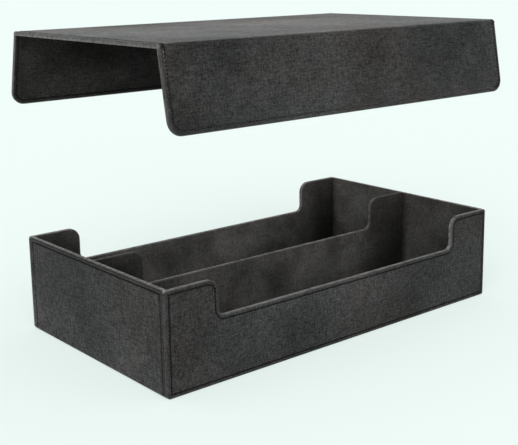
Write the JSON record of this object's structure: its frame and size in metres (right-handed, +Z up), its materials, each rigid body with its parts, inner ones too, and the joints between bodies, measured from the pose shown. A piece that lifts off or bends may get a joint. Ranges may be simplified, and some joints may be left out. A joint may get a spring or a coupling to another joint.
{
  "type": "trading card box",
  "caption": "Open two-lane card tray with low-cut long walls, and a lift-off lid whose two long flaps fold down over the walls.",
  "frame": {"origin": "centre of the tray's flat underside", "axes": "+Z up, +X along the lanes, -Y towards the front long wall"},
  "size_m": [0.3548, 0.2334, 0.2527],
  "materials": {
    "outer_skin": "suede-like charcoal microfibre leatherette",
    "lining": "brushed dark grey microfibre",
    "greyboard": "dense grey bookbinder's board",
    "magnet": "nickel-plated disc magnet"
  },
  "bodies": {
    "tray": {"base_board": "greyboard", "base_skin": "outer_skin", "front_lane_lining": "lining", "back_lane_lining": "lining", "front_wall_skin": "outer_skin", "front_wall_board": "greyboard", "front_wall_magnets": "magnet", "front_wall_lining": "lining", "back_wall_skin": "outer_skin", "back_wall_board": "greyboard", "back_wall_magnets": "magnet", "back_wall_lining": "lining", "left_wall_skin": "outer_skin", "left_wall_board": "greyboard", "left_wall_lining": "lining", "right_wall_skin": "outer_skin", "right_wall_board": "greyboard", "right_wall_lining": "lining", "divider_front_skin": "outer_skin", "divider_board": "greyboard", "divider_back_skin": "outer_skin"},
    "lid": {"lid_skin": "outer_skin", "lid_board": "greyboard", "lid_lining": "lining", "front_fold_skin": "outer_skin", "front_fold_lining": "lining", "back_fold_skin": "outer_skin", "back_fold_lining": "lining"},
    "front_flap": {"front_flap_skin": "outer_skin", "front_flap_board": "greyboard", "front_flap_magnets": "magnet", "front_flap_lining": "lining"},
    "back_flap": {"back_flap_skin": "outer_skin", "back_flap_board": "greyboard", "back_flap_magnets": "magnet", "back_flap_lining": "lining"}
  },
  "joints": [
    {"name": "lid_lift", "type": "slide", "parent": "tray", "child": "lid", "axis": [0, 0, 1], "range_m": [-0.168, 0]},
    {"name": "front_flap_fold", "type": "hinge", "parent": "lid", "child": "front_flap", "pos_m": [0, -0.1016, 0.2493], "axis": [-1, 0, 0], "range_deg": [-10, 78], "stiffness_Nm_per_rad": 0.1, "springref_deg": 1.15, "deforming": ["front_fold_skin", "front_fold_lining"]},
    {"name": "back_flap_fold", "type": "hinge", "parent": "lid", "child": "back_flap", "pos_m": [0, 0.1016, 0.2493], "axis": [1, 0, 0], "range_deg": [-13, 75], "stiffness_Nm_per_rad": 0.1, "springref_deg": 1.72, "deforming": ["back_fold_skin", "back_fold_lining"]}
  ]
}
